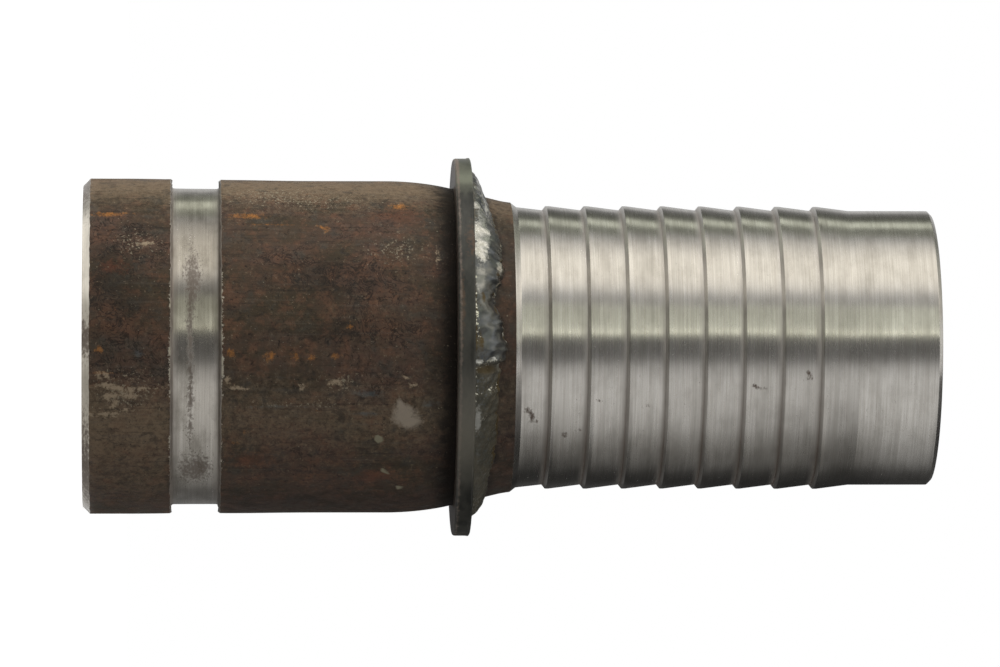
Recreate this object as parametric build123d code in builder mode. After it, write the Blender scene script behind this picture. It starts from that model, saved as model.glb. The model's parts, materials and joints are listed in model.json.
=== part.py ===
from build123d import *
from math import cos, pi, radians, sin, tan
import os

# Two inch hose tail: a swaged steel pipe, cut-grooved at one end and barbed at the other,
# with a stop collar fillet-welded on its taper. It stands on its grooved end.
# Origin: the centre of the grooved end face. +Z runs up the pipe's axis to the hose end.
# All sizes are in millimetres, and all heights are measured from the grooved end face.

# Pipe, before it is turned
pipe_od = 60.3
pipe_wall = 3.9
neck_od = 52.2
barrel_length = 60.7  # end face to the corner between barrel and taper
taper_length = 16.2  # corner to corner, along the axis
shoulder_radius = 50.0  # rounds the corner between barrel and taper
throat_radius = 20.0  # rounds the corner between taper and neck

# Grooved end
end_bevel = 1.3
seat_length = 15.9  # end face to groove, where the coupling's gasket seats
groove_width = 8.6
groove_depth = 1.65
groove_root_radius = 0.5
groove_edge_break = 0.25

# Barbed shank, turned from the neck
shank_start = 78.2
shank_shoulder_angle = 40.0  # slope of the turned shoulder, from the axis
lead_od = 50.8
lead_length = 4.8  # shank start to the foot of the first barb
barb_count = 8
barb_pitch = 6.95
barb_crest_od = 51.2
barb_root_od = 49.7
barb_face_length = 0.6  # the steep face that holds the hose, along the axis
barb_crest_flat = 0.6
pilot_length = 14.9  # plain end past the last barb
hose_end_bevel = 0.7
bore_edge_break = 0.5

# Stop collar, punched from plate
collar_height = 66.65  # its back face
collar_thickness = 3.1
collar_width = 5.55  # from its hole out to its rim
collar_fit = 0.05  # between its hole and the taper, where it wedges
collar_die_roll = 0.7  # rounded edge that the punch leaves on its back
collar_edge_break = 0.2

# Fillet weld between the collar's front face and the taper, laid in one lap
weld_collar_leg = 3.3
weld_taper_leg = 3.8
weld_swell = 0.3  # how far its face stands out from a straight line between its toes
weld_penetration = 1.5  # how far its root runs in under the collar
weld_start_angle = -84.0  # where the lap starts and ends, from +X
weld_growth = 0.35  # share by which the bead grows from the start of the lap to its end
weld_wavers = ((3, 0.05), (7, 0.04), (17, 0.03))  # how often it swells in a lap, and by what share
weld_ripple = 0.1  # share by which the bead is larger at a ripple than in the dip beside it
weld_ripple_count = 36
weld_spans = 2  # the lap is lofted in this many spans

pipe_radius = pipe_od / 2
neck_radius = neck_od / 2
collar_front = collar_height + collar_thickness
first_barb = shank_start + lead_length
pilot_start = first_barb + barb_count * barb_pitch
overall_length = pilot_start + pilot_length
weld_stations = 2 * weld_ripple_count  # one on each ripple and one in each dip

# Outline of the pipe's outside: barrel, taper and neck
with BuildLine() as skin:
    FilletPolyline(
        (pipe_radius, 0),
        (pipe_radius, barrel_length),
        (neck_radius, barrel_length + taper_length),
        (neck_radius, overall_length),
        radius=[shoulder_radius, throat_radius],
    )


def skin_radius(height):
    """The pipe's outside radius before turning, at a height."""
    level = Edge.make_line((0, height), (pipe_od, height))
    return skin.wires()[0].intersect(level)[0].X


# ---- Swaged pipe ----
with BuildPart() as pipe:
    # Blank: one wall, carried inwards from the outline
    with BuildSketch(Plane.XZ):
        with BuildLine():
            add(skin.line)
            offset(amount=pipe_wall, side=Side.LEFT)
        make_face()
    revolve(axis=Axis.Z)

    # Coupling groove
    with BuildSketch(Plane.XZ) as groove_section:
        with Locations((pipe_radius, seat_length + groove_width / 2)):
            Rectangle(2 * groove_depth, groove_width)
        fillet(groove_section.vertices().group_by(Axis.X)[0], groove_root_radius)
    revolve(axis=Axis.Z, mode=Mode.SUBTRACT)

    # Shank: the ring of metal that turning takes off outside the barbs
    lead_radius = lead_od / 2
    crest_radius = barb_crest_od / 2
    root_radius = barb_root_od / 2
    shoulder_run = (pipe_radius - lead_radius) / tan(radians(shank_shoulder_angle))
    shank_points = [
        (pipe_radius, shank_start - shoulder_run),
        (lead_radius, shank_start),
    ]
    for barb in range(barb_count):
        foot = first_barb + barb * barb_pitch
        crest = foot + barb_face_length
        shank_points += [
            (root_radius, foot),
            (crest_radius, crest),
            (crest_radius, crest + barb_crest_flat),
        ]
    shank_points += [
        (root_radius, pilot_start),
        (root_radius, overall_length),
        (pipe_radius, overall_length),
    ]
    with BuildSketch(Plane.XZ):
        with BuildLine():
            Polyline(*shank_points, close=True)
        make_face()
    revolve(axis=Axis.Z, mode=Mode.SUBTRACT)

    # Bevels and broken edges
    rims = pipe.edges().filter_by(GeomType.CIRCLE)
    end_rims = rims.group_by(Axis.Z)[0].sort_by(SortBy.RADIUS)
    hose_rims = rims.group_by(Axis.Z)[-1].sort_by(SortBy.RADIUS)
    seat_edges = rims.filter_by_position(Axis.Z, seat_length, seat_length + groove_width)
    groove_lips = seat_edges.filter_by(lambda edge: edge.radius > pipe_radius - groove_edge_break)
    chamfer(end_rims[-1], end_bevel)
    chamfer(hose_rims[-1], hose_end_bevel)
    chamfer([end_rims[0], hose_rims[0]], bore_edge_break)
    chamfer(groove_lips, groove_edge_break)

# ---- Stop collar ----
with BuildPart() as collar:
    collar_hole_radius = skin_radius(collar_height) + collar_fit
    with BuildSketch(Plane.XY.offset(collar_height)):
        Circle(collar_hole_radius + collar_width)
        Circle(collar_hole_radius, mode=Mode.SUBTRACT)
    extrude(amount=collar_thickness)
    back_rim = collar.edges().group_by(Axis.Z)[0].sort_by(SortBy.RADIUS)[-1]
    front_rim = collar.edges().group_by(Axis.Z)[-1].sort_by(SortBy.RADIUS)[-1]
    fillet(back_rim, collar_die_roll)
    chamfer(front_rim, collar_edge_break)

# ---- Fillet weld ----
def weld_size(share):
    """The bead's size at a share of the lap: it grows along the lap and wavers a little on the way."""
    waver = sum(depth * sin(2 * pi * times * share + times) for times, depth in weld_wavers)
    return 1 + weld_growth * (share - 1 / 2) + waver


def weld_section(station):
    """The bead's section at a station of the lap, sunk into the collar and into the pipe's wall."""
    share = station / weld_stations
    angle = radians(weld_start_angle + 360 * share)
    size = weld_size(share) + weld_ripple * (station % 2)
    collar_toe = Vector(skin_radius(collar_front) + weld_collar_leg * size, collar_front)
    toe_height = collar_front + weld_taper_leg * size
    taper_toe = Vector(skin_radius(toe_height), toe_height)
    slope = (taper_toe - collar_toe).normalized()
    crown = (collar_toe + taper_toe) / 2 + slope.rotate(Axis.Z, -90) * weld_swell
    sunk_collar_toe = collar_toe - slope * weld_penetration
    sunk_taper_toe = taper_toe + slope * weld_penetration
    root = Vector(skin_radius(collar_front) - pipe_wall / 2, collar_front - weld_penetration)
    plane = Plane((0, 0, 0), x_dir=(cos(angle), sin(angle), 0), z_dir=(sin(angle), -cos(angle), 0))
    with BuildSketch(plane) as section:
        with BuildLine():
            ThreePointArc(sunk_collar_toe, crown, sunk_taper_toe)
            Polyline(sunk_taper_toe, root, sunk_collar_toe)
        make_face()
    return section.sketch


sections = [weld_section(station) for station in range(weld_stations + 1)]
span_stations = weld_stations // weld_spans
with BuildPart() as weld:
    for first in range(0, weld_stations, span_stations):
        loft(sections[first : first + span_stations + 1], ruled=True)
    add(pipe.part, mode=Mode.SUBTRACT)
    add(collar.part, mode=Mode.SUBTRACT)

os.makedirs("parts", exist_ok=True)
pipe.part.label = "swaged_pipe"
collar.part.label = "stop_collar"
weld.part.label = "fillet_weld"
for piece in (pipe.part, collar.part, weld.part):
    export_step(piece, f"parts/{piece.label}.step")
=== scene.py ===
import json
from math import atan2, degrees, hypot, pi, sin, tan

import bpy
import numpy as np
from mathutils import Matrix, Vector


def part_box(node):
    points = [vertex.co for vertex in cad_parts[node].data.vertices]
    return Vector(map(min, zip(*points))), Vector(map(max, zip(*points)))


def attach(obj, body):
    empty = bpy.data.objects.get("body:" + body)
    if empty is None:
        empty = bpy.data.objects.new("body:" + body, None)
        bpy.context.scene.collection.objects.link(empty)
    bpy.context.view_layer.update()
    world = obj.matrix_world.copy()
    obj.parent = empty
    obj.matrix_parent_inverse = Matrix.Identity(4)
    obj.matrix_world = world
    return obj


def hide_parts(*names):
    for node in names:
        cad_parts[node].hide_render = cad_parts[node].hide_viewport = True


# Looks of a two inch hose tail: a swaged pipe with mill scale and rust on its barrel, turned bright in the
# coupling groove and on the barbed shank, with a punched stop collar and a fillet weld. It stands on its
# grooved end, +Z runs up the pipe's axis, and every size here is in metres unless its name ends in _mm.

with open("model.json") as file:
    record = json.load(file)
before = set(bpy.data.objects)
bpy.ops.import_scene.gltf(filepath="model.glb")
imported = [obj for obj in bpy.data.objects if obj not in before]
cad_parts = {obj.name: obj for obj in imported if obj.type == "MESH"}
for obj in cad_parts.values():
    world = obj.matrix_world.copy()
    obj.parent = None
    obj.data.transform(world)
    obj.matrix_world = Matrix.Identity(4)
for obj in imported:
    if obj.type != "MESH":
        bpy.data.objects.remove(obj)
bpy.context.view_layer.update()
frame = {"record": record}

MM = 0.001


def mount(name):
    """The record's mount of that name, with its radius, length and height in metres."""
    found = next(m for m in frame["record"]["mounts"] if m["name"] == name)
    dims = found["dims"]
    return dims.get("r_mm", 0) * MM, dims.get("length_mm", 0) * MM, found["pos_m"][2]


# ---- Sizes, from the frame where it gives them ----
pipe_radius = mount("gasket_seat")[0]
overall_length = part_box("swaged_pipe")[1].z
groove_radius, groove_width, groove_height = mount("coupling_groove")
barrel_bore_radius, barrel_bore_length, barrel_bore_height = mount("barrel_bore")
neck_bore_radius, neck_bore_length, neck_bore_height = mount("neck_bore")
crest_radius, shank_length, shank_height = mount("hose_shank")
root_radius = mount("hose_pilot")[0]
collar_radius = mount("collar_rim")[0]
collar_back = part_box("stop_collar")[0].z
collar_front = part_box("stop_collar")[1].z

# ---- Sizes that the frame doesn't give ----
neck_radius = 26.1 * MM
lead_radius = 25.4 * MM
barrel_end = 60.7 * MM  # corner between barrel and taper
taper_end = 76.9 * MM  # corner between taper and neck
shoulder_radius = 50 * MM
throat_radius = 20 * MM
end_bevel = 1.3 * MM
hose_end_bevel = 0.7 * MM
bore_edge = 0.5 * MM
groove_lip = 0.25 * MM
groove_root = 0.5 * MM
shank_start = 78.2 * MM
shoulder_length = 1.05 * MM  # the turned slope from the neck down to the shank
barb_count = 8
barb_face = 0.6 * MM
barb_flat = 0.6 * MM
barb_wear = 0.15 * MM  # radius that wear leaves on a barb's crest
barb_shade = 1.2 * MM  # how far grime and painted shade spread down the ramp from a barb's foot
die_roll = 0.7 * MM  # the collar's back rim, rounded by the punch
bore_step_ratio = 8  # how many times longer the bore's steps are than the outside's

# ---- Sizes worked out ----
taper_slope = atan2(pipe_radius - neck_radius, taper_end - barrel_end)
throat_end = taper_end + throat_radius * tan(taper_slope / 2)  # the arc between taper and neck
throat_start = throat_end - throat_radius * sin(taper_slope)
seat_end = groove_height - groove_width / 2
groove_end = groove_height + groove_width / 2
barb_pitch = shank_length / barb_count
first_barb = shank_height - shank_length / 2
pilot_start = shank_height + shank_length / 2

# The pipe's zones, each with its own material
SCALE, SHANK, GROOVE, BEVEL, BORE = range(5)


# ---- Surfaces ----
def rounded(corners, step):
    """A closed outline through corners (r, z, corner radius, zone), as points, and each stretch's zone.

    A rounded corner is an arc tangent to both of its sides: it starts and ends at radius x tan(turn / 2)
    from the corner. Straight stretches are cut into equal parts no longer than step, and the bore's into
    longer ones."""
    points, zones = [], []
    count = len(corners)
    places = np.array([c[:2] for c in corners])
    for i, (_, _, radius, zone) in enumerate(corners):
        here, back, ahead = places[i], places[i - 1], places[(i + 1) % count]
        into = (here - back) / hypot(*(here - back))
        out = (ahead - here) / hypot(*(ahead - here))
        turn = atan2(into[0] * out[1] - into[1] * out[0], into @ out)
        reach = abs(radius * np.tan(turn / 2))
        start, end = here - into * reach, here + out * reach
        if radius:
            centre = start + np.sign(turn) * radius * np.array([-into[1], into[0]])
            parts = max(2, int(abs(degrees(turn)) // 12) + int(radius * abs(turn) / step))
            swing = turn * np.arange(parts) / parts
            arm = start - centre
            arc = np.stack([arm[0] * np.cos(swing) - arm[1] * np.sin(swing),
                            arm[0] * np.sin(swing) + arm[1] * np.cos(swing)], 1) + centre
            points.append(arc)
            zones += [corners[i - 1][3] if abs(s) < abs(turn) / 2 else zone for s in swing]
        next_turn_reach = side_reach(places, corners, (i + 1) % count)
        length = hypot(*(ahead - end)) - next_turn_reach
        longest = step * bore_step_ratio if zone == BORE else step
        parts = max(1, int(np.ceil(length / longest)))
        points.append(end + np.outer(np.arange(parts) * length / parts, out))
        zones += [zone] * parts
    return np.concatenate(points), np.array(zones)


def side_reach(places, corners, i):
    """How far along its sides the arc at corner i reaches."""
    here, back, ahead = places[i], places[i - 1], places[(i + 1) % len(places)]
    into, out = here - back, ahead - here
    turn = atan2(into[0] * out[1] - into[1] * out[0], into @ out)
    return abs(corners[i][2] * np.tan(turn / 2))


def grid_piece(name, places, uv, zones, materials, marks):
    """A closed piece from a grid of places, rows x columns x 3, that joins up both ways.

    uv is rows x columns x 2 with one more row and column than places. zones gives each row's material, and
    marks holds named values, rows x columns, which the materials read."""
    rows, columns = places.shape[:2]
    corner = np.arange(rows * columns).reshape(rows, columns)
    above, beside = np.roll(corner, -1, 0), np.roll(corner, -1, 1)
    faces = np.stack([corner, beside, np.roll(above, -1, 1), above], 2).reshape(-1, 4)
    mesh = bpy.data.meshes.new(name)
    mesh.vertices.add(rows * columns)
    mesh.vertices.foreach_set("co", places.astype(np.float32).ravel())
    mesh.loops.add(faces.size)
    mesh.loops.foreach_set("vertex_index", faces.astype(np.int32).ravel())
    mesh.polygons.add(len(faces))
    mesh.polygons.foreach_set("loop_start", np.arange(0, faces.size, 4, dtype=np.int32))
    mesh.polygons.foreach_set("material_index", np.repeat(zones, columns).astype(np.int32))
    mesh.update(calc_edges=True)
    mesh.shade_smooth()
    around = mesh.uv_layers.new(name="Around")
    quads = np.stack([uv[:-1, :-1], uv[:-1, 1:], uv[1:, 1:], uv[1:, :-1]], 2)
    around.data.foreach_set("uv", quads.astype(np.float32).ravel())
    for mark, values in marks.items():
        attribute = mesh.attributes.new(mark, "FLOAT", "POINT")
        attribute.data.foreach_set("value", values.astype(np.float32).ravel())
    for finish in materials:
        mesh.materials.append(finish)
    piece = bpy.data.objects.new(name, mesh)
    bpy.context.scene.collection.objects.link(piece)
    return piece


def waver(angle, along, waves, seed):
    """A smooth uneven field, mostly within -1 to 1: sine waves that run round and along the pipe, added up.

    waves holds (how many times round, length along) and each wave starts at a random phase."""
    random = np.random.default_rng(seed)
    field = sum(np.sin(turns * angle + 2 * pi * along / length + random.uniform(0, 2 * pi))
                for turns, length in waves)
    return field / len(waves) ** 0.5


def from_front(angle):
    """Degrees from the front (-Y) towards -X, of an angle from +X."""
    return (-90 - np.degrees(angle) + 180) % 360 - 180


def blots(angle, height, places):
    """Soft spots, each a bell: (height, degrees from the front, half length along, half width), in mm."""
    field = np.zeros_like(angle)
    for place, turn, half_length, half_width in places:
        away = (from_front(angle) - turn + 180) % 360 - 180
        arc = np.radians(away) * pipe_radius / MM / half_width
        field = np.maximum(field, np.exp(-(arc**2) - ((height / MM - place) / half_length) ** 2))
    return field


def turned(profile, columns, shape):
    """A closed profile swept round the axis: each point's angle, and its place after shape has moved it.

    shape(angle, r, z) returns the r and z of each point, rows x columns."""
    angle = np.arange(columns) * 2 * pi / columns
    angle, r = np.meshgrid(angle, profile[:, 0])
    z = np.repeat(profile[:, 1:], columns, 1)
    r, z = shape(angle, r, z)
    return angle, np.stack([r * np.cos(angle), r * np.sin(angle), z], 2)


def wrapped_uv(profile, columns):
    """UV whose first value runs along the profile and whose second runs round: tangents follow the axis."""
    steps = np.hypot(*(np.roll(profile, -1, 0) - profile).T)
    along = np.concatenate([[0], np.cumsum(steps)]) / steps.sum()
    around = np.arange(columns + 1) / columns
    return np.stack(np.meshgrid(along, around, indexing="ij"), 2)


# ---- Materials ----
def linear(colour):
    """A linear RGBA from an sRGB hex colour such as #3a302b."""
    parts = [int(colour[i:i + 2], 16) / 255 for i in (1, 3, 5)]
    return [c / 12.92 if c <= 0.04045 else ((c + 0.055) / 1.055) ** 2.4 for c in parts] + [1]


def add(tree, kind, inputs=(), out=0, **settings):
    """Adds a node and gives its output of that name or number.

    settings are the node's own properties. inputs holds what goes into its sockets, in order or by name or
    number: a number, a vector, a hex colour, or the output of another node."""
    node = tree.nodes.new("ShaderNode" + kind)
    for name, value in settings.items():
        setattr(node, name, value)
    for name, value in inputs.items() if isinstance(inputs, dict) else enumerate(inputs):
        if isinstance(value, bpy.types.NodeSocket):
            tree.links.new(value, node.inputs[name])
        else:
            node.inputs[name].default_value = linear(value) if isinstance(value, str) else value
    return node.outputs[out] if node.outputs else None


def material(name):
    """A new node material and its tree, still empty."""
    made = bpy.data.materials.new(name)
    made.use_nodes = True
    made.node_tree.nodes.clear()
    return made, made.node_tree


def noise(tree, where, size_mm, detail=2, roughness=0.5, stretch=(1, 1, 1), distortion=0):
    """Noise whose lumps are about size_mm across, or size times stretch along each axis."""
    scale = [1 / (size_mm * MM * s) for s in stretch]
    laid = add(tree, "Mapping", {"Vector": where, "Scale": scale})
    return add(tree, "TexNoise", {"Vector": laid, "Scale": 1, "Detail": detail, "Roughness": roughness,
                                  "Distortion": distortion})


def weighted(tree, *terms):
    """The sum of the terms' values, each times its weight."""
    total = 0
    for value, weight in terms:
        total = add(tree, "Math", [value, weight, total], operation="MULTIPLY_ADD")
    return total


def largest(tree, first, *others):
    """The largest of some values."""
    for other in others:
        first = add(tree, "Math", [first, other], operation="MAXIMUM")
    return first


def layer(tree, below, tint, value, low, high, cover=1.0, how="MIX"):
    """Colour below under a layer of tint, which thickens from nothing where value is low to cover at high."""
    share = add(tree, "MapRange", [value, low, high, 0, cover])
    return add(tree, "Mix", {0: share, 6: below, 7: tint}, out=2, data_type="RGBA", blend_type=how)


def ragged(tree, mark, grain, tear=1.0):
    """A mark that the mesh carries, with torn edges: the mark plus the grain, spread out to 0 to tear."""
    smooth = add(tree, "Attribute", out="Fac", attribute_name=mark)
    return weighted(tree, (smooth, 1), (add(tree, "MapRange", [grain, 0.3, 0.7, 0, 1]), tear))


def mill_scale():
    """Hot-rolled mill scale gone rusty: a dark, half-matt oxide skin, mottled brown, pitted and flecked."""
    made, tree = material("rusty_mill_scale")
    where = add(tree, "TexCoord", out="Object")
    cloud = noise(tree, where, 8, 5, 0.6, (1, 1, 2), 0.3)
    mottle = noise(tree, where, 2.2, 6, 0.72, (1, 1, 1.4), 0.5)
    grain = noise(tree, where, 0.9, 5, 0.75)
    torn = noise(tree, where, 1.1, 6, 0.8)
    fine = noise(tree, where, 0.45, 3, 0.7)
    drawn = noise(tree, where, 0.5, 4, 0.6, (1, 1, 30))
    curl = noise(tree, where, 3.2, 4, 0.65, distortion=1.6)
    tint = noise(tree, where, 3.5, 4, 0.7)
    # The skin: brown clouds, warm and cold patches, mottle, and lines drawn along the pipe by rolling.
    colour = layer(tree, "#3a3125", "#4b3a30", cloud, 0.4, 0.6)
    colour = layer(tree, colour, "#624534", tint, 0.52, 0.64, 0.55)
    colour = layer(tree, colour, "#3c3a34", tint, 0.47, 0.36, 0.6)
    # Paler brown bands: the one on the -X side is a painted sheen
    colour = layer(tree, colour, "#756450", ragged(tree, "pale_bands_and_sheen", torn), 0.6, 1.5, 0.85)
    colour = layer(tree, colour, "#221d19", mottle, 0.47, 0.36, 0.55)
    colour = layer(tree, colour, "#5d4c3c", mottle, 0.55, 0.68, 0.5)
    colour = layer(tree, colour, "#5b534b", drawn, 0.55, 0.75, 0.35)
    colour = layer(tree, colour, "#1f1b18", drawn, 0.42, 0.3, 0.5)
    # Thin curled cracks where the curled noise crosses its middle value, on black scale and in some clouds.
    off_middle = add(tree, "Math", [weighted(tree, (curl, 1), (0.5, -1))], operation="ABSOLUTE")
    crack = add(tree, "MapRange", [off_middle, 0.04, 0.012, 0, 1])
    black = add(tree, "Attribute", out="Fac", attribute_name="black_scale")
    brittle = add(tree, "MapRange", [weighted(tree, (cloud, 1), (black, 0.2)), 0.55, 0.66, 0, 0.65])
    crazed = add(tree, "Math", [crack, brittle], operation="MULTIPLY")
    colour = layer(tree, colour, "#100d0b", crazed, 0, 1)
    colour = layer(tree, colour, "#1c1917", ragged(tree, "black_scale", mottle), 1.0, 1.9, 0.7)
    colour = layer(tree, colour, "#4e5455", ragged(tree, "blue_scale", torn), 0.9, 1.4, 0.6)
    # Pits, crumbs and rust.
    colour = layer(tree, colour, "#130f0d", grain, 0.42, 0.32, 0.7)
    colour = layer(tree, colour, "#16120f", fine, 0.38, 0.28, 0.7)
    colour = layer(tree, colour, "#75614c", grain, 0.6, 0.72, 0.45)
    colour = layer(tree, colour, "#75492a", weighted(tree, (tint, 0.4), (torn, 0.6)), 0.6, 0.68, 0.4)
    colour = layer(tree, colour, "#6b3825", ragged(tree, "red_rust", torn), 1.0, 1.8, 0.4)
    # Welding scorch with painted shade beside the collar, and painted shade along the bead's toe and down the
    # +X side
    colour = layer(tree, colour, "#1a1613", ragged(tree, "scorch_and_painted_shade", mottle), 0.6, 1.6, 0.9)
    colour = layer(tree, colour, "#9a652f", ragged(tree, "orange_rust", torn), 1.1, 1.65, 0.85)
    # Dust, places where the skin is off, smears, and drops of old paint.
    dust = add(tree, "Attribute", out="Fac", attribute_name="dusted")
    colour = layer(tree, colour, "#8d8470", weighted(tree, (fine, 1), (dust, 0.13)), 0.66, 0.74, 0.7)
    colour = layer(tree, colour, "#90806a", ragged(tree, "bare_flecks", torn), 1.05, 1.35, 0.9)
    colour = layer(tree, colour, "#94897a", ragged(tree, "smears", torn, 0.45), 0.5, 0.95, 0.8)
    drops = add(tree, "Attribute", out="Fac", attribute_name="paint_drops")
    colour = layer(tree, colour, "#7d7863", drops, 0.3, 0.5, 0.9)
    # Bright crumbs of steel on the groove's lips.
    lip_grain = weighted(tree, (fine, 0.6), (mottle, 0.4))
    worn = add(tree, "MapRange", [ragged(tree, "worn_lip", lip_grain), 1.1, 1.3, 0, 1])
    colour = layer(tree, colour, "#c4bcab", worn, 0, 1)
    height = weighted(tree, (grain, 0.5), (mottle, 0.5), (crazed, -0.15))
    shader = add(tree, "BsdfPrincipled", {
        "Base Color": colour,
        "Metallic": weighted(tree, (worn, 0.9)),
        "Roughness": add(tree, "MapRange", [mottle, 0.35, 0.65, 0.4, 0.56]),
        "Specular IOR Level": 0.22,
        "Normal": add(tree, "Bump", {"Height": height, "Distance": 0.22 * MM, "Strength": 0.8}),
    })
    add(tree, "OutputMaterial", {"Surface": shader})
    return made


def turned_steel(name, tint, roughness, tarnish, rust_mark, cover):
    """Low-carbon steel left by a lathe tool: bright, with fine lines round it, which spread light lengthwise.

    tint is its colour head on, tarnish how far grey clouds darken it, and rust_mark and cover the mark that
    rusts and by how much."""
    made, tree = material(name)
    where = add(tree, "TexCoord", out="Object")
    # The lines are about 0.1 mm apart on the real part, and are drawn 0.25 mm apart so that they show.
    lines = noise(tree, where, 0.25, 3, 0.6, (60, 60, 1))
    wide_lines = noise(tree, where, 1.2, 3, 0.6, (20, 20, 1))
    cloud = noise(tree, where, 6, 4, 0.6, (1, 1, 0.5))
    speck = noise(tree, where, 0.7, 4, 0.7, (1, 1, 0.6))
    steel_shade = add(tree, "Attribute", out="Fac", attribute_name="painted_steel_shade")
    grime_and_shade = add(tree, "Attribute", out="Fac", attribute_name="grime_and_shade")
    colour = layer(tree, tint, "#a8a39a", lines, 0.7, 0.3, 0.35, "MULTIPLY")
    colour = layer(tree, colour, "#b5b0a8", wide_lines, 0.4, 0.7, 0.2, "MULTIPLY")
    colour = layer(tree, colour, "#8f8b82", cloud, 0.45, 0.75, tarnish, "MULTIPLY")
    # Painted shade: the steel darkened by its angle from the front
    colour = layer(tree, colour, "#7b776f", steel_shade, 0, 1, 1, "MULTIPLY")
    pits = add(tree, "MapRange", [speck, 0.3, 0.26, 0, 0.8])
    spots = add(tree, "MapRange", [ragged(tree, rust_mark, speck), 0.85, 1.35, 0, cover])
    # Rust, pits, and the grime with painted shade at the barbs' feet and the groove's lips, all in one brown
    rust = largest(tree, pits, spots, weighted(tree, (grime_and_shade, 0.7)))
    colour = layer(tree, colour, "#57463a", rust, 0, 1)
    smooth = add(tree, "MapRange", [wide_lines, 0.35, 0.65, roughness - 0.015, roughness + 0.02])
    shader = add(tree, "BsdfPrincipled", {
        "Base Color": colour,
        "Metallic": add(tree, "MapRange", [rust, 0, 1, 1, 0.3]),
        "Roughness": weighted(tree, (smooth, 1), (rust, 0.3)),
        "Anisotropic": 0.9,
        "Tangent": add(tree, "Tangent", direction_type="UV_MAP", uv_map="Around"),
        "Normal": add(tree, "Bump", {"Height": lines, "Distance": 0.015 * MM, "Strength": 0.3}),
    })
    add(tree, "OutputMaterial", {"Surface": shader})
    return made


def punched_plate():
    """Hot-rolled plate under thin dark scale: smooth and half glossy, with painted highlights along its back
    edge and on its rim's top.
    """
    made, tree = material("punched_plate_scale")
    where = add(tree, "TexCoord", out="Object")
    cloud = noise(tree, where, 5, 5, 0.6, (1, 1, 0.5))
    grain = noise(tree, where, 0.9, 4, 0.7)
    colour = layer(tree, "#20201c", "#2e2e29", cloud, 0.35, 0.7)
    colour = layer(tree, colour, "#503a28", ragged(tree, "edge_rust", grain), 1.1, 1.5, 0.6)
    # Painted highlight: a greenish softbox reflection on the rim's top
    colour = layer(tree, colour, "#67695a", ragged(tree, "rim_highlight", cloud, 0.4), 0.4, 1.6)
    colour = layer(tree, colour, "#5c584d", ragged(tree, "greyed", cloud, 0.3), 0.1, 1.2)
    # Painted highlight along the die-rolled back edge and the back face, strongest on top
    colour = layer(tree, colour, "#6e6258", ragged(tree, "edge_highlight", grain), 1.1, 1.9, 0.9)
    height = noise(tree, where, 0.8, 4, 0.6)
    shader = add(tree, "BsdfPrincipled", {
        "Base Color": colour,
        "Roughness": add(tree, "MapRange", [cloud, 0.3, 0.7, 0.3, 0.4]),
        "Normal": add(tree, "Bump", {"Height": height, "Distance": 0.05 * MM, "Strength": 0.4}),
    })
    add(tree, "OutputMaterial", {"Surface": shader})
    return made


def weld_metal():
    """Weld metal as it froze: smooth and bright where its crust came off, elsewhere grey-brown with oxide."""
    made, tree = material("weld_metal")
    where = add(tree, "TexCoord", out="Object")
    cloud = noise(tree, where, 3, 5, 0.65)
    grain = noise(tree, where, 0.7, 5, 0.75)
    speck = noise(tree, where, 0.5, 3, 0.7)
    glassy = add(tree, "MapRange", [ragged(tree, "glassy", grain), 0.6, 1.0, 0, 0.95])
    bright = add(tree, "MapRange", [ragged(tree, "bright", speck, 0.5), 0.55, 0.8, 0, 1])
    brown = add(tree, "MapRange", [ragged(tree, "brown", grain, 0.6), 0.8, 1.2, 0, 0.95])
    sparks = add(tree, "Attribute", out="Fac", attribute_name="sparks")
    spark = add(tree, "MapRange", [weighted(tree, (speck, 1), (sparks, 0.2)), 0.71, 0.75, 0, 1])
    colour = layer(tree, "#47453a", "#5b5546", cloud, 0.35, 0.65)
    colour = layer(tree, colour, "#34302a", grain, 0.55, 0.4, 0.4)
    colour = layer(tree, colour, layer(tree, "#686b6d", "#767670", cloud, 0.4, 0.6), glassy, 0, 1)
    colour = layer(tree, colour, "#a3a29b", ragged(tree, "silvery", speck, 0.5), 0.55, 0.95, 0.8)
    colour = layer(tree, colour, layer(tree, "#b9b8ae", "#e2e0d8", grain, 0.4, 0.6), bright, 0, 1)
    colour = layer(tree, colour, "#4b3d1f", brown, 0, 1)
    colour = layer(tree, colour, "#f1edd9", spark, 0, 1)
    shiny = weighted(tree, (largest(tree, bright, glassy, spark), 1), (brown, -0.8))
    height = weighted(tree, (cloud, 0.6), (grain, 0.4))
    shader = add(tree, "BsdfPrincipled", {
        "Base Color": colour,
        "Metallic": add(tree, "MapRange", [shiny, 0, 1, 0.25, 0.95]),
        "Roughness": add(tree, "MapRange", [shiny, 0, 1, 0.5, 0.27]),
        "Normal": add(tree, "Bump", {"Height": height, "Distance": 0.1 * MM, "Strength": 0.5}),
    })
    add(tree, "OutputMaterial", {"Surface": shader})
    return made


def backdrop_rays(tree):
    """1 for the rays that show the backdrop: the camera's own, and those that metal or glass sends on."""
    names = ("Is Camera Ray", "Is Glossy Ray", "Is Transmission Ray")
    return largest(tree, *[add(tree, "LightPath", out=name) for name in names])


def white_paper():
    """The matt white sheet that the tail stands on: plain paper, which reads as white to the eye."""
    made, tree = material("white_paper")
    paper = add(tree, "BsdfDiffuse", {"Color": "#a3a3a2"})
    strength = weighted(tree, (backdrop_rays(tree), 0.86))
    glow = add(tree, "Emission", {"Color": "#ffffff", "Strength": strength})
    add(tree, "OutputMaterial", {"Surface": add(tree, "AddShader", [paper, glow])})
    return made


# ---- Swaged pipe ----
def skin(z):
    """The taper's radius at height z: a straight slope, then the throat's arc down to the neck."""
    straight = neck_radius + (taper_end - z) * tan(taper_slope)
    before_end = np.clip(throat_end - z, 0, throat_radius)
    arc = neck_radius + throat_radius - np.sqrt(throat_radius**2 - before_end**2)
    return np.where(z > throat_start, arc, straight)


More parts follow.
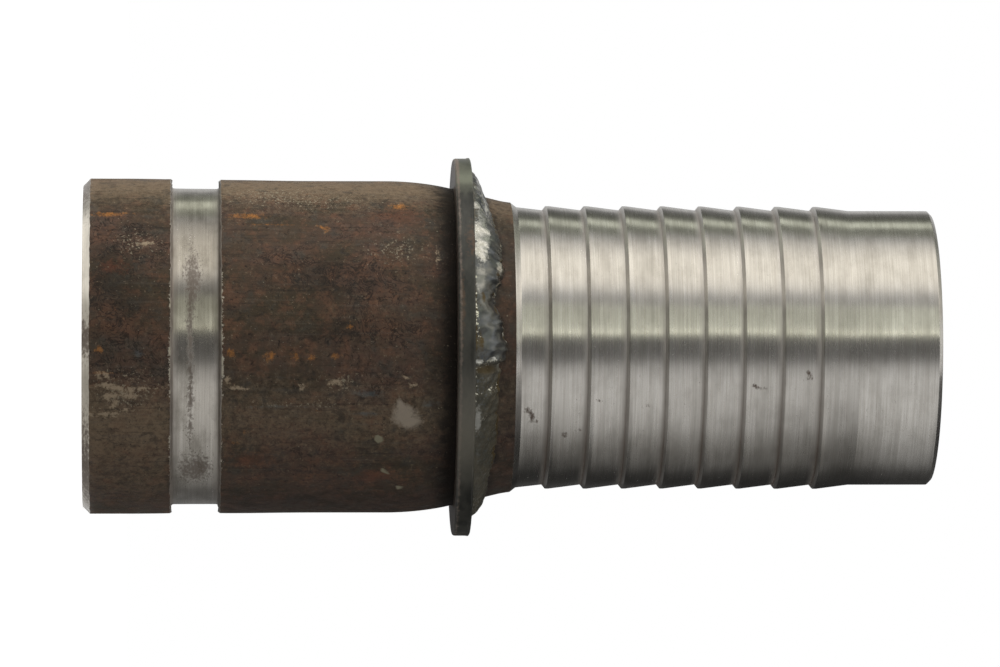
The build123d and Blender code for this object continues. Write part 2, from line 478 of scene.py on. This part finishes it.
def pipe_corners():
    """The pipe's closed outline, from the grooved end's outer bevel up its outside and down its bore."""
    throat = np.linspace(throat_start, shank_start - shoulder_length, 6)
    *throat_places, neck_place = zip(skin(throat), throat)
    corners = [
        (pipe_radius - end_bevel, 0, 0.1 * MM, BEVEL),
        (pipe_radius, end_bevel, 0.15 * MM, SCALE),
        (pipe_radius, seat_end - groove_lip, 0.1 * MM, GROOVE),
        (pipe_radius - groove_lip, seat_end, 0.1 * MM, GROOVE),
        (groove_radius, seat_end, groove_root, GROOVE),
        (groove_radius, groove_end, groove_root, GROOVE),
        (pipe_radius - groove_lip, groove_end, 0.1 * MM, GROOVE),
        (pipe_radius, groove_end + groove_lip, 0.1 * MM, SCALE),
        (pipe_radius, barrel_end, shoulder_radius, SCALE),
        *[(*place, 0, SCALE) for place in throat_places],
        (*neck_place, 0.05 * MM, SHANK),
        (lead_radius, shank_start, 0.3 * MM, SHANK),
    ]
    for barb in range(barb_count):
        foot = first_barb + barb * barb_pitch
        if barb:
            ramp = (crest_radius - root_radius) * barb_shade / (barb_pitch - barb_face - barb_flat)
            corners.append((root_radius + ramp, foot - barb_shade, 0, SHANK))
        corners += [
            (root_radius, foot, 0.1 * MM, SHANK),
            (crest_radius, foot + barb_face, barb_wear, SHANK),
            (crest_radius, foot + barb_face + barb_flat, 0.3 * MM, SHANK),
        ]
    bore_taper = neck_bore_height - neck_bore_length / 2
    barrel_bore_end = barrel_bore_height + barrel_bore_length / 2
    corners += [
        (root_radius, pilot_start, 0.3 * MM, SHANK),
        (root_radius, overall_length - hose_end_bevel, 0.2 * MM, SHANK),
        (root_radius - hose_end_bevel, overall_length, 0.15 * MM, SHANK),
        (neck_bore_radius + bore_edge, overall_length, 0.1 * MM, SHANK),
        (neck_bore_radius, overall_length - bore_edge, 0.1 * MM, BORE),
        (neck_bore_radius, bore_taper, 4 * MM, BORE),
        (barrel_bore_radius, barrel_bore_end, 4 * MM, BORE),
        (barrel_bore_radius, bore_edge, 0.1 * MM, BEVEL),
        (barrel_bore_radius + bore_edge, 0, 0.1 * MM, BEVEL),
    ]
    return corners


def near_lips(height, reach):
    """1 at the groove's two lips, fading as a bell of that reach."""
    return sum(np.exp(-(((height - lip) / reach) ** 2)) for lip in (seat_end, groove_end))


def pipe_shape(angle, r, z):
    """The real pipe's small errors, added to its radius and height.

    It is a little out of round. Sawing and rolling spread its end by 0.15 mm and the swage drew its barrel in
    by 0.16 mm. The lips of the groove and the outer bevel are torn by a tenth or two of a millimetre, and one
    corner is chipped."""
    rolled = waver(angle, z, [(2, 0.4), (3, 0.3), (5, 0.2), (9, 0.05)], 3) * 0.03
    outside = r > groove_radius - 1 * MM
    spread = 0.15 * np.exp(-((z / (16 * MM)) ** 4))
    drawn = -0.16 * np.exp(-(((z - 48 * MM) / (16 * MM)) ** 4))
    torn = waver(angle, z, [(23, 1), (47, 1), (83, 1), (131, 1)], 5)
    lips = near_lips(z, 0.3 * MM) * (r > pipe_radius - 0.5 * MM)
    bevel = outside * np.exp(-(((z / MM - 1.3) / 0.4) ** 2))
    chip = np.exp(-(((from_front(angle) + 43.5) / 2.2) ** 2) - ((z / MM - 1.1) / 0.7) ** 2) * outside
    r = r + (rolled + (spread + drawn) * outside + lips * torn * 0.06 - chip * 0.3) * MM
    return r, z + (lips * torn * 0.12 + bevel * torn * 0.05) * MM


# The pipe's spots: (height, degrees from the front towards -X, half length along, half width round), in mm.
# Those past 90 degrees either way lie on its back.
pipe_spots = {
    "orange_rust": [
        (4.0, 51, 4.0, 1.0), (8.0, 51, 5.0, 0.4), (3.0, -1, 1.0, 0.9), (4.0, -9, 3.2, 0.5),
        (29.2, 50.5, 5.6, 1.1), (34.5, 46, 10.0, 0.3), (42.9, 45, 1.3, 0.6), (43.8, 43, 1.0, 0.5),
        (56.6, 57, 2.4, 1.6),
        (26.3, -2, 1.4, 1.1), (33.4, -3, 1.6, 1.2), (37.5, -3, 1.6, 1.0), (40.7, -4, 1.3, 1.0),
        (45.0, -3, 1.2, 0.9), (47.5, 7, 1.0, 1.0), (27.0, -35, 1.2, 0.8), (29.0, -30, 0.9, 0.8),
        (42.0, -22, 1.0, 0.8), (31.0, 120, 6.0, 1.2), (12.0, 160, 4.0, 2.0), (50.0, -140, 5.0, 1.5),
        (38.0, -105, 3.0, 0.8), (44, 150, 8, 0.7),
    ],
    "red_rust": [(6.0, 28, 4.5, 2.0), (57, 52, 6, 4), (30, -42, 6, 3), (52, -50, 5, 3), (40, 165, 12, 8)],
    "bare_flecks": [
        (9.5, -14.2, 6.5, 0.55), (4.4, -12.5, 2.8, 0.6), (5.2, -17, 2.6, 0.9), (8.6, -16.5, 2.2, 0.8),
        (4.0, -9.6, 2.8, 0.7), (6.0, -20, 1.8, 0.6), (4.6, -23.5, 3.2, 0.8), (8.2, -22, 1.4, 0.5),
        (1.4, -23.3, 1.2, 0.6), (11.5, 37, 2.3, 0.9), (27.8, -14, 2.2, 0.7), (25.8, -11, 0.9, 0.7),
        (38.6, -13.5, 0.9, 1.1), (45.3, -12.3, 2.0, 0.8), (43.8, -18, 0.5, 0.5), (59.0, -13, 1.3, 0.7),
        (57.6, -10.5, 0.7, 0.5), (63.3, 32, 0.5, 4.0), (30.0, -150, 5.0, 0.8), (9.0, 110, 3.0, 0.7),
        (52.0, 130, 3.0, 1.2), (33.0, 178, 5.0, 1.0),
    ],
    "smears": [(57.2, -23.5, 2.3, 2.2), (58.2, -26, 2.2, 1.7), (56.4, -20.5, 0.9, 1.6)],
    "paint_drops": [
        (52.8, -33, 0.8, 0.95), (53.8, -47, 0.45, 0.6), (54.3, -48.3, 0.6, 0.4), (56.8, -57, 0.6, 0.8),
    ],
    "dusted": [
        (38, 61, 16, 3.0), (9.5, 38, 4.0, 3.0), (33, 66, 12, 2.5), (56, 35, 5, 3), (46.5, -12, 3, 2),
        (8, -16, 6, 4), (40, -20, 14, 0.6), (40, 120, 14, 4), (20, -120, 10, 5),
    ],
    "black_scale": [
        (6.0, 22, 9.0, 13.0), (9.7, 43, 4.5, 2.5), (7.5, 13, 6.0, 5.5), (45.0, 24, 15.0, 6.0),
        (34.3, 47, 9.0, 0.3), (54.0, 51.6, 3.5, 0.3), (47.0, 6, 12.0, 3.0), (20.0, 175, 12.0, 9.0),
        (48.0, -120, 9.0, 6.0), (40.0, 130, 8.0, 5.0),
    ],
    "blue_scale": [
        (50.8, -16, 3.2, 0.7), (50.4, -23.5, 3.2, 0.5), (34.7, -21, 9.5, 0.35), (62, -20, 2, 0.6),
        (10, -2, 1, 0.8), (44.0, -165, 8.0, 3.0),
    ],
    "shank_pits": [
        (79.3, -26, 0.7, 0.7), (80.1, -29, 0.5, 1.3), (80.6, -32, 0.7, 0.5), (85.9, -38, 0.7, 0.7),
        (119.9, -15.5, 0.6, 0.5), (121.2, -17, 0.8, 0.35), (129.6, -10.5, 0.5, 0.8), (129.2, -12.5, 0.6, 0.5),
        (88.5, -36, 0.4, 0.5), (100.5, -24, 0.5, 0.35), (92, -22, 0.4, 0.3), (104, 12, 0.3, 0.25),
        (112, 140, 0.7, 0.6), (95, -150, 0.7, 1.2), (126, -95, 0.6, 0.8),
    ],
    "groove_rust": [
        (19.1, 20, 0.7, 7.0), (18.9, 8, 0.4, 3.0), (19.6, 26, 1.6, 6.0), (20.0, -50, 3.5, 4.2),
        (19.3, -19, 0.6, 5.0), (19.0, -30, 0.6, 2.0), (19.3, 0, 0.22, 22), (20.0, 150, 2.5, 7.0),
    ],
    "bevel_rust": [
        (0.7, 78, 2, 12), (0.7, -50, 2, 14), (0.7, 2, 2, 4), (0.7, 110, 2, 20), (0.7, -120, 2, 30),
        (0.7, 180, 2, 14),
    ],
}
# How far painted shade darkens the turned steel, by degrees from the front, on its bevel, groove and shank.
shade_on_bevel = [
    (-90, 0.8), (-60, 0.6), (-50, 0.5), (-10, 0.6), (0, 0.3), (5, 0.5), (14, 0.5), (20, 0), (48, 0),
    (58, 0.7), (80, 0.4), (95, 0),
]
shade_on_groove = [(-80, 0), (6, 0), (14, 0.5), (20, 0.5), (28, 0.1), (38, 0.25), (58, 0)]
shade_on_shank = [
    (-120, 0), (-90, 0.5), (-64, 0.5), (-47, 0.52), (-40, 0.38), (-34, 0.2), (-20, 0.08), (0, 0), (8, 0.1),
    (14, 0.2), (22, 0.05), (30, 0),
]


def painted_steel_shade(angle, height):
    """How much painted shade darkens the steel at each place: on the pilot it fades out within 7 mm past the
    barbs.
    """
    turn = from_front(angle)
    on_bevel = np.interp(turn, *zip(*shade_on_bevel))
    on_groove = np.interp(turn, *zip(*shade_on_groove))
    on_shank = np.interp(turn, *zip(*shade_on_shank)) * np.clip(1 - (height - pilot_start) / (7 * MM), 0, 1)
    return np.where(height < end_bevel * 2, on_bevel, np.where(height < barrel_end, on_groove, on_shank))


def worn_lip(angle, height):
    """How far the groove's lips are worn bright: in an uneven line, fainter towards its sides."""
    uneven = waver(angle, height, [(3, 1), (7, 1), (11, 1)], 31)
    aside = np.abs(from_front(angle) - 5) > 42
    return near_lips(height, 0.5 * MM) * (0.8 + 0.3 * uneven - 0.25 * aside)


def grime_and_shade_at(angle, height):
    """Grime and painted shade on the barbs' steep faces and down the ramps that lead to them, and on the
    groove's lips.

    The painted shade is darkest underneath and lightest a little above the front."""
    past = (height - first_barb) % barb_pitch
    on_barbs = (height > first_barb - barb_shade) & (height < pilot_start - barb_pitch + barb_face)
    on_ramp = np.clip(1 - (barb_pitch - past) / barb_shade, 0, 1) ** 2
    at_feet = on_barbs * np.where(past < barb_face * 0.9, 1.0, on_ramp)
    # Painted shade by side: darkest underneath, lightest a little above the front
    left = np.interp(from_front(angle), [-60, -25, 5, 15, 45, 55], [1.15, 0.8, 0.6, 0.3, 0.3, 0.8])
    return np.maximum(at_feet * left, near_lips(height, 0.45 * MM))


def scorch_and_painted_shade(angle, height):
    """How black the scale is painted: past 1 beside the collar, where welding burnt it and painted shade of
    the collar darkens it, and in a line of painted shade along the bead's toe.

    It fades to 0 at 9.5 mm below the collar. From the groove up, the +X side, away from the key lamp, is
    darkened too with painted shade."""
    turn = from_front(angle)
    below = np.clip((height - collar_back) / (9.5 * MM) + 1, 0, 1)
    burnt_and_shaded = np.where(height > collar_front, 0.5, below**2 * 1.6)
    # Painted shade: a dark line along the bead's toe, and the +X side darkened from the groove up
    toe_shade = np.exp(-(((height - collar_front - bead_edges(angle)[0]) / (0.5 * MM)) ** 2))
    round_side = np.clip((-50 - turn) / 14, 0, 1) * np.clip((turn + 135) / 30, 0, 1)
    underside_shade = 0.6 * round_side * np.clip((height / MM - 22) / 6, 0, 1)
    return np.maximum(np.maximum(burnt_and_shaded, toe_shade), underside_shade)


def pale_bands_and_sheen(angle, height):
    """How far the scale is painted paler: a painted sheen in a band on the -X side, which the key lamp faces,
    and fainter pale bands towards +X, one of them only near the grooved end.
    """
    turn = from_front(angle)
    high = 1.05 * np.exp(-(((turn - 73) / 14) ** 2))
    low = 0.5 * np.exp(-(((turn + 25) / 14) ** 2))
    by_end = 0.45 * np.exp(-(((turn + 42) / 24) ** 2)) * (height < 15 * MM)
    return high + low + by_end


def swaged_pipe():
    """The pipe: its outline carried round the axis, in zones of scale, turned steel and bore."""
    profile, zones = rounded(pipe_corners(), 1.0 * MM)
    columns = 280
    angle, places = turned(profile, columns, pipe_shape)
    height = places[:, :, 2]
    outside = (np.arange(len(profile)) < np.argmax(profile[:, 1]))[:, None]
    marks = {name: blots(angle, height, spots) for name, spots in pipe_spots.items()}
    marks["worn_lip"] = worn_lip(angle, height)
    marks["grime_and_shade"] = grime_and_shade_at(angle, height) * outside
    marks["scorch_and_painted_shade"] = scorch_and_painted_shade(angle, height)
    marks["pale_bands_and_sheen"] = pale_bands_and_sheen(angle, height)
    marks["painted_steel_shade"] = painted_steel_shade(angle, height)
    materials = [
        mill_scale(),
        turned_steel("turned_shank_steel", "#ece8e1", 0.27, 0.3, "shank_pits", 0.9),
        turned_steel("turned_groove_steel", "#e2dcd2", 0.25, 0.6, "groove_rust", 0.7),
        turned_steel("bevelled_end_steel", "#ddd7cb", 0.3, 0.4, "bevel_rust", 0.75),
        mill_scale(),
    ]
    piece = grid_piece("swaged_pipe_surface", places, wrapped_uv(profile, columns), zones, materials, marks)
    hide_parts("swaged_pipe")
    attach(piece, "root")


# ---- Stop collar ----
collar_lean = 0.25 * MM  # how far its back (+Y) stands above its middle
collar_shift = 0.1 * MM  # how far the weld's pull lifted all of it
collar_gap = 0.05 * MM  # between its hole and the taper
rim_rust = [(69.2, 35, 1.3, 5.0), (67.5, 12, 0.6, 9.0), (68.5, 150, 2.0, 9.0)]  # spots, as on the pipe


def lean(angle):
    """How far the collar's lean lifts a place at this angle."""
    return collar_shift + collar_lean * np.sin(angle)


def collar_shape(angle, r, z):
    """The punched plate: it leans a little, its rim is a little out of round, and a burr stands on parts of
    its front edge, up to the rim's full radius."""
    rim = (r > collar_radius - 0.9 * MM) * 1.0
    front_edge = np.exp(-(((z - collar_front + 0.35 * MM) / (0.22 * MM)) ** 2)) * rim
    burred = np.clip(waver(angle, 0, [(3, 1), (5, 1), (9, 1)], 11) + 0.4, 0, 1.4)
    burred = np.maximum(burred * 0.35, np.exp(-(((from_front(angle) - 90) / 9) ** 2)))
    rolled = waver(angle, z, [(2, 1), (3, 1), (5, 1), (11, 1)], 12)
    r = r + (front_edge * burred * 0.3 - rim * 0.1 + rim * rolled * 0.02) * MM
    return np.minimum(r, collar_radius - 0.01 * MM), z + lean(angle)


def stop_collar():
    """The collar: a plain ring section carried round the axis, die-rolled at its back rim."""
    hole = skin(collar_back) + collar_gap
    corners = [
        (collar_radius, collar_back, die_roll * 0.7, 0),
        (collar_radius, collar_front, 0.35 * MM, 0),
        (hole, collar_front, 0.1 * MM, 0),
        (hole, collar_back, 0.1 * MM, 0),
    ]
    profile, zones = rounded(corners, 0.2 * MM)
    columns = 400
    angle, places = turned(profile, columns, collar_shape)
    height = places[:, :, 2] - lean(angle)
    turn = from_front(angle)
    back_edge = np.exp(-((((height - collar_back) / MM - 0.5) / 0.4) ** 2))
    back_edge = np.maximum(back_edge, height < collar_back + 0.1 * MM)
    # Two marks are painted highlights: one along the back edge and back face, strongest on top, and a
    # greenish one on the rim's top
    marks = {
        "edge_highlight": back_edge * (1 + np.exp(-(((turn - 78) / 14) ** 2))),
        "rim_highlight": np.interp(turn, [52, 58, 61, 64, 70, 85, 110, 180], [0, 0.6, 1.5, 1.4, 0.7, 0.8, 0.2, 0]),
        "greyed": np.exp(-(((turn + 25) / 17) ** 2)),
        "edge_rust": blots(angle, height, rim_rust),
    }
    uv = wrapped_uv(profile, columns)
    piece = grid_piece("stop_collar_surface", places, uv, zones, [punched_plate()], marks)
    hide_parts("stop_collar")
    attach(piece, "root")


# ---- Fillet weld ----
# The bead, by degrees from the front: how far it reaches along the pipe and up the collar, in mm, and how far
# its toe on the pipe is a rolled lip (1) rather than feathered (0). Its lap starts just below the front's
# middle and ends there, over its own start.
bead = [
    (-178, 3.9, 2.7, 0.3), (-150, 3.8, 2.6, 0.5), (-120, 3.4, 2.7, 0.5), (-90, 2.9, 2.8, 0.55),
    (-70, 2.8, 2.8, 0.6), (-58, 3.1, 2.8, 0.6), (-45, 4.0, 2.8, 0.5), (-33, 4.3, 2.8, 0.5),
    (-20, 4.3, 3.0, 0.5), (-9, 4.6, 3.1, 0.5), (-6, 4.2, 2.9, 0.3), (-5, 5.3, 3.6, 1.0), (-1, 5.7, 3.8, 1.0),
    (3, 5.4, 3.8, 1.0), (9, 5.0, 3.6, 1.0), (13, 4.1, 3.5, 0.9), (19, 3.5, 3.4, 0.8), (23, 4.2, 3.4, 0.9),
    (27, 5.0, 3.5, 1.0), (34, 5.2, 3.5, 1.0), (42, 5.0, 3.5, 0.9), (50, 4.4, 3.6, 0.7), (62, 3.6, 3.7, 0.4),
    (75, 3.0, 3.9, 0.25), (90, 2.75, 4.0, 0.3), (105, 3.1, 3.8, 0.4), (120, 3.7, 3.3, 0.5),
    (150, 4.2, 2.8, 0.5), (178, 3.9, 2.7, 0.3),
]
# Places on the bead: (degrees from the front, share of the way from the collar to the taper, and half sizes).
bead_spots = {
    "glassy": [
        (64, 0.5, 20, 0.4), (30, 0.55, 22, 0.6), (6, 0.5, 12, 0.6), (130, 0.5, 35, 0.5), (-150, 0.5, 30, 0.5),
    ],
    "bright": [
        (-4.7, 0.08, 0.9, 0.1), (-3.8, 0.4, 0.7, 0.09), (-5.2, 0.7, 0.5, 0.06), (41, 0.2, 6.5, 0.2),
        (34, 0.17, 4.5, 0.16), (30, 0.7, 2.6, 0.13), (66, 0.2, 1.6, 0.1), (54, 0.12, 1.8, 0.1),
        (56, 0.45, 3.5, 0.05), (74, 0.3, 3.0, 0.06), (120, 0.3, 10, 0.15), (-160, 0.4, 8, 0.15),
    ],
    "silvery": [
        (23, 0.16, 5.0, 0.14), (50, 0.3, 4.0, 0.2), (75, 0.45, 9, 0.2), (-25, 0.1, 5, 0.1),
        (-160, 0.4, 14, 0.25),
    ],
    "brown": [
        (60, 0.97, 14, 0.1), (14, 0.78, 3.0, 0.12), (33, 0.9, 5, 0.12), (48, 0.75, 2, 0.1),
        (2, 0.12, 5, 0.08), (15, 0.02, 12, 0.07), (4, 0.02, 9, 0.08), (17, 0.3, 2.5, 0.12),
        (7, 0.97, 14, 0.08), (-7.5, 0.4, 2.6, 0.6), (-14, 0.92, 8, 0.12), (-30, 0.95, 12, 0.12),
        (-45, 0.9, 9, 0.12), (58, 0.02, 22, 0.05), (20, 0.75, 1.5, 0.15), (27, 0.66, 1.2, 0.12),
        (170, 0.9, 20, 0.2),
    ],
    "sparks": [
        (60, 0.5, 14, 0.4), (40, 0.86, 12, 0.12), (22, 0.86, 10, 0.12), (-5, 0.4, 1.5, 0.6),
        (-25, 0.3, 1.5, 0.15), (-14, 0.03, 9, 0.06), (4, 0.95, 10, 0.08), (12, 0.04, 14, 0.07),
        (-15, 0.8, 5, 0.1), (-15, 0.5, 2, 0.2),
    ],
}
bead_sink = 0.15 * MM  # how far its hidden sides run into the collar and the pipe


def on_bead(turn, across, spots):
    """Soft spots on the bead, each a bell."""
    field = np.zeros_like(across)
    for at, place, half_turn, half_across in spots:
        away = (turn - at + 180) % 360 - 180
        field = np.maximum(field, np.exp(-((away / half_turn) ** 2) - ((across - place) / half_across) ** 2))
    return field


def bead_edges(angle):
    """The bead's reach, rise and lip at each angle, its edges torn by a few tenths of a millimetre."""
    turn = from_front(angle)
    table = np.array(bead)
    reach, rise, lip = (np.interp(turn, table[:, 0], table[:, i], period=360) for i in (1, 2, 3))
    torn = waver(angle, 0, [(23, 1), (37, 1), (61, 1), (97, 0.8), (139, 0.8)], 21)
    reach = (reach + torn * (0.1 + 0.12 * lip)) * MM
    rise = (rise + waver(angle, 0, [(17, 1), (37, 1), (59, 1)], 22) * 0.1) * MM
    return reach, rise, lip


def fillet_weld():
    """The bead: at each angle a cubic curve from its toe on the collar to its toe on the taper.

    It leaves the collar square to it, bulges, and lands on the taper nearly flat, or in a lip. Lumps and
    faint ripples, bowed towards the lap's start, lift it along its own outward direction."""
    columns, rows = 800, 36
    angle = np.arange(columns) * 2 * pi / columns
    turn = from_front(angle)
    reach, rise, lip = bead_edges(angle)
    start_z = collar_front + lean(angle) - bead_sink
    start_r = skin(collar_front) + rise
    end_z = collar_front + reach
    end_r = skin(end_z) - 0.03 * MM
    share = np.linspace(0, 1, rows)[:, None]
    weights = [(1 - share) ** 3, 3 * share * (1 - share) ** 2, 3 * share**2 * (1 - share), share**3]
    z_points = [start_z, start_z + reach * 0.62, end_z - reach * (0.42 - 0.36 * lip), end_z]
    r_points = [start_r, start_r - 0.05 * MM, end_r + rise * (0.06 + 0.3 * lip), end_r]
    z = sum(w * p for w, p in zip(weights, z_points))
    r = sum(w * p for w, p in zip(weights, r_points))
    along_z, along_r = np.gradient(z, axis=0), np.gradient(r, axis=0)
    size = np.hypot(along_z, along_r)
    fade = np.sin(pi * share) ** 0.7
    lap = np.radians((-6 - turn) % 360) * 30  # how far along its lap the bead is, in mm
    across = np.repeat(share, columns, 1)
    ripple = np.sin(2 * pi * (lap / 1.5 - 0.8 * (2 * across - 1) ** 2) + 1.2 * np.sin(lap / 3.1))
    lumps = waver(np.repeat(angle[None], rows, 0), across, [(19, 1), (31, 0.7), (47, -0.9), (64, 0.4)], 23)
    lift = fade * (ripple * 0.008 + lumps * 0.11) * MM
    r, z = r + lift * along_z / size, z - lift * along_r / size
    hidden_z = np.stack([end_z, start_z + reach * 0.5, start_z, start_z])
    hidden_r = np.stack([*(skin(hidden_z[:3]) - bead_sink), start_r - rise * 0.5])
    r, z = np.concatenate([r, hidden_r]), np.concatenate([z, hidden_z])
    places = np.stack([r * np.cos(angle), r * np.sin(angle), z], 2)
    across = np.concatenate([across, np.ones_like(hidden_r)])
    turn = np.repeat(turn[None], len(r), 0)
    marks = {name: on_bead(turn, across, spots) for name, spots in bead_spots.items()}
    ends = (np.linspace(0, 1, len(r) + 1), np.linspace(0, 1, columns + 1))
    uv = np.stack(np.meshgrid(*ends, indexing="ij"), 2)
    piece = grid_piece("fillet_weld_surface", places, uv, np.zeros(len(r), int), [weld_metal()], marks)
    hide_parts("fillet_weld")
    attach(piece, "root")


swaged_pipe()
stop_collar()
fillet_weld()

# ---- Studio ----
tail_middle = (0, 0, 0.07)  # where the lamps aim
floor_radius = 1.5
# Panels round the tail, from the camera's side (0 degrees) towards -X: where each level is met, and its tint.
panels = [
    (-180, 0.02, "#ffffff"), (-140, 0.03, "#ffffff"), (-122, 0.08, "#ffffff"), (-108, 0.20, "#ffffff"),
    (-88, 0.38, "#ffffff"), (-66, 0.55, "#ffffff"), (-40, 0.65, "#ffffff"), (-26, 0.64, "#ffffff"),
    (-16, 0.45, "#ffffff"), (-9, 0.18, "#ffffff"), (-2, 0.13, "#ffffff"), (8, 0.14, "#ffffff"),
    (11.6, 0.50, "#feffee"), (12.2, 1.9, "#feffee"), (13.2, 1.9, "#feffee"), (13.8, 0.85, "#fcfff1"),
    (24, 0.80, "#fcfff1"), (32, 0.66, "#fcfff1"), (37, 0.40, "#ffffff"), (42, 0.45, "#ffffff"),
    (50, 0.90, "#fffcf6"), (58, 1.0, "#fffbf2"), (76, 1.0, "#fffbf2"), (90, 0.75, "#fffcf6"),
    (100, 0.42, "#ffffff"), (106, 0.23, "#fafff0"), (111, 0.16, "#fafff0"), (114.5, 0.20, "#fafff0"),
    (116.5, 0.64, "#fafff0"), (123.5, 0.64, "#fafff0"), (127, 0.16, "#fafff0"), (134, 0.10, "#fafff0"),
    (146, 0.17, "#ffffff"), (153, 0.48, "#ffffff"), (163, 0.52, "#ffffff"), (172, 0.36, "#ffffff"),
    (180, 0.25, "#ffffff"),
]
tent_radius = 0.22
# The tent's cloth, from its skirt on the floor up: radius, height, the share of its panels' level there, and
# the part of the tail that mirrors it.
# The skirt's smaller shares near the tail are painted shadow, where the tail would shade the cloth
tent_rings = [
    (0.034, 0.0006, 0.3, "groove"), (0.07, 0.0007, 0.6, "groove"), (0.2, 0.002, 0.9, "groove"),
    (tent_radius, 0.02, 1.0, "groove"), (tent_radius, 0.035, 1.0, "groove"),
    (tent_radius, 0.05, 1.0, "barbs"), (tent_radius, 0.11, 1.0, "barbs"),
    (tent_radius, 0.14, 1.0, "pilot"), (tent_radius, 0.165, 1.0, "pilot"),
    (tent_radius, 0.2, 1.0, "barbs"), (tent_radius, 1.2, 1.0, "barbs"),
]
# The share of a panel's level in the cloth that each part of the tail mirrors, by angle.
cloth_shares = {
    "groove": [
        (-180, 6), (-150, 6), (-128, 2), (-104, 1.3), (-70, 1.1), (-20, 1), (11, 1), (12, 0.4), (13.4, 0.4),
        (14, 1), (60, 1), (76, 0.85), (90, 0.7), (100, 0.95), (107, 1.5), (111, 2.6), (114.5, 2.6),
        (116.5, 1.25), (123.5, 1.25), (127, 2), (134, 2.6), (146, 1.8), (153, 1), (180, 1),
    ],
    "barbs": [
        (-180, 2.4), (-150, 2.4), (-130, 0.6), (-104, 0.1), (-89, 0.16), (-76, 0.25), (-64, 0.36), (-53, 0.5),
        (-40, 0.68), (-20, 0.85), (-9, 1), (12, 1), (14, 0.75), (24, 0.65), (32, 0.95), (50, 1.1), (76, 1.2),
        (90, 1.1), (104, 1), (180, 1),
    ],
    "pilot": [
        (-180, 1), (-128, 1), (-104, 1.5), (-53, 1.5), (-30, 1.1), (0, 1), (12, 1.05), (30, 1), (114.5, 1),
        (116.5, 1.3), (123.5, 1.3), (127, 1), (180, 1),
    ],
}


def tent():
    """The cloth ring that the metal mirrors, with a skirt on the floor: its glow is read off the panels."""
    columns = 720
    degrees_round = np.linspace(-180, 180, columns, endpoint=False)
    stops, levels, tints = zip(*panels)
    glow = np.array([linear(tint)[:3] for tint in tints]) * np.array(levels)[:, None]
    colours = np.stack([np.interp(degrees_round, stops, glow[:, i]) for i in range(3)], 1)
    cloth = {part: np.interp(degrees_round, *zip(*shares))[:, None] for part, shares in cloth_shares.items()}
    turn = np.radians(degrees_round)
    places = [np.stack([-np.sin(turn) * r, -np.cos(turn) * r, np.full(columns, z)], 1)
              for r, z, _, _ in tent_rings]
    glows = [np.column_stack([colours * share * cloth[part], np.ones(columns)])
             for _, _, share, part in tent_rings]
    corner = np.arange(columns * (len(tent_rings) - 1))
    beside = corner - corner % columns + (corner + 1) % columns
    faces = np.stack([corner, beside, beside + columns, corner + columns], 1)
    mesh = bpy.data.meshes.new("tent")
    mesh.from_pydata(np.concatenate(places).tolist(), [], faces.tolist())
    glow_layer = mesh.attributes.new("glow", "FLOAT_COLOR", "POINT")
    glow_layer.data.foreach_set("color", np.concatenate(glows).ravel())
    made, tree = material("tent_cloth")
    shine = add(tree, "Attribute", out="Color", attribute_name="glow")
    add(tree, "OutputMaterial", {"Surface": add(tree, "Emission", {"Color": shine})})
    mesh.materials.append(made)
    piece = bpy.data.objects.new("tent", mesh)
    bpy.context.scene.collection.objects.link(piece)
    piece.visible_camera = piece.visible_diffuse = piece.visible_transmission = piece.visible_shadow = False


def white_room():
    """The world: plain white to the rays that show it, and a fainter light on everything else."""
    world = bpy.data.worlds.new("studio")
    bpy.context.scene.world = world
    world.use_nodes = True
    tree = world.node_tree
    tree.nodes.clear()
    strength = add(tree, "MapRange", [backdrop_rays(tree), 0, 1, 0.3, 1.0])
    add(tree, "OutputWorld", {"Surface": add(tree, "Background", {"Color": "#ffffff", "Strength": strength})})


def looking(place, aim, up=(0, 0, 1)):
    """A turn and place whose -Z looks from place to aim, with up upwards."""
    back = (Vector(place) - Vector(aim)).normalized()
    side = Vector(up).cross(back).normalized()
    turn = Matrix([side, back.cross(side), back]).transposed()
    return Matrix.Translation(place) @ turn.to_4x4()


def softbox(name, place, width, height, power):
    """A soft lamp at a place, aimed at the tail's middle, that metal doesn't mirror."""
    light = bpy.data.lights.new(name, "AREA")
    light.shape = "RECTANGLE"
    light.size = width
    light.size_y = height
    light.energy = power
    lamp = bpy.data.objects.new(name, light)
    lamp.matrix_world = looking(place, tail_middle)
    lamp.visible_camera = lamp.visible_glossy = False
    bpy.context.scene.collection.objects.link(lamp)


def floor():
    """A round sheet of paper, wide enough that no view shows its edge."""
    mesh = bpy.data.meshes.new("floor")
    turn = np.linspace(0, 2 * pi, 128, endpoint=False)
    rim = np.stack([floor_radius * np.cos(turn), floor_radius * np.sin(turn), 0 * turn], 1)
    mesh.from_pydata(rim.tolist(), [], [list(range(len(rim)))])
    mesh.materials.append(white_paper())
    sheet = bpy.data.objects.new("floor", mesh)
    bpy.context.scene.collection.objects.link(sheet)


white_room()
tent()
floor()
softbox("key", (-1.18, -0.2, 0.4), 0.6, 0.8, 17)
softbox("fill", (0, -1.2, 0.4), 0.6, 0.8, 4)
softbox("back", (0.8, 0.95, 0.5), 0.8, 0.8, 8)

# ---- Camera ----
# It faces the tail's front from a long way off, rolled by a quarter turn: the tail lies across the picture.
camera_distance = 1.3
camera_height = 14.6 * MM
aim = Vector((-2.47 * MM, 0, 75.43 * MM))
camera_roll = 0.0024  # past the quarter turn, as a slope
lens = bpy.data.cameras.new("camera")
lens.sensor_width = 36
lens.lens = 258.4
lens.clip_start = 0.05
camera = bpy.data.objects.new("camera", lens)
camera.matrix_world = looking((aim.x, -camera_distance, camera_height), aim, up=(-1, 0, -camera_roll))
bpy.context.scene.collection.objects.link(camera)
bpy.context.scene.camera = camera
bpy.context.scene.view_settings.view_transform = "Standard"
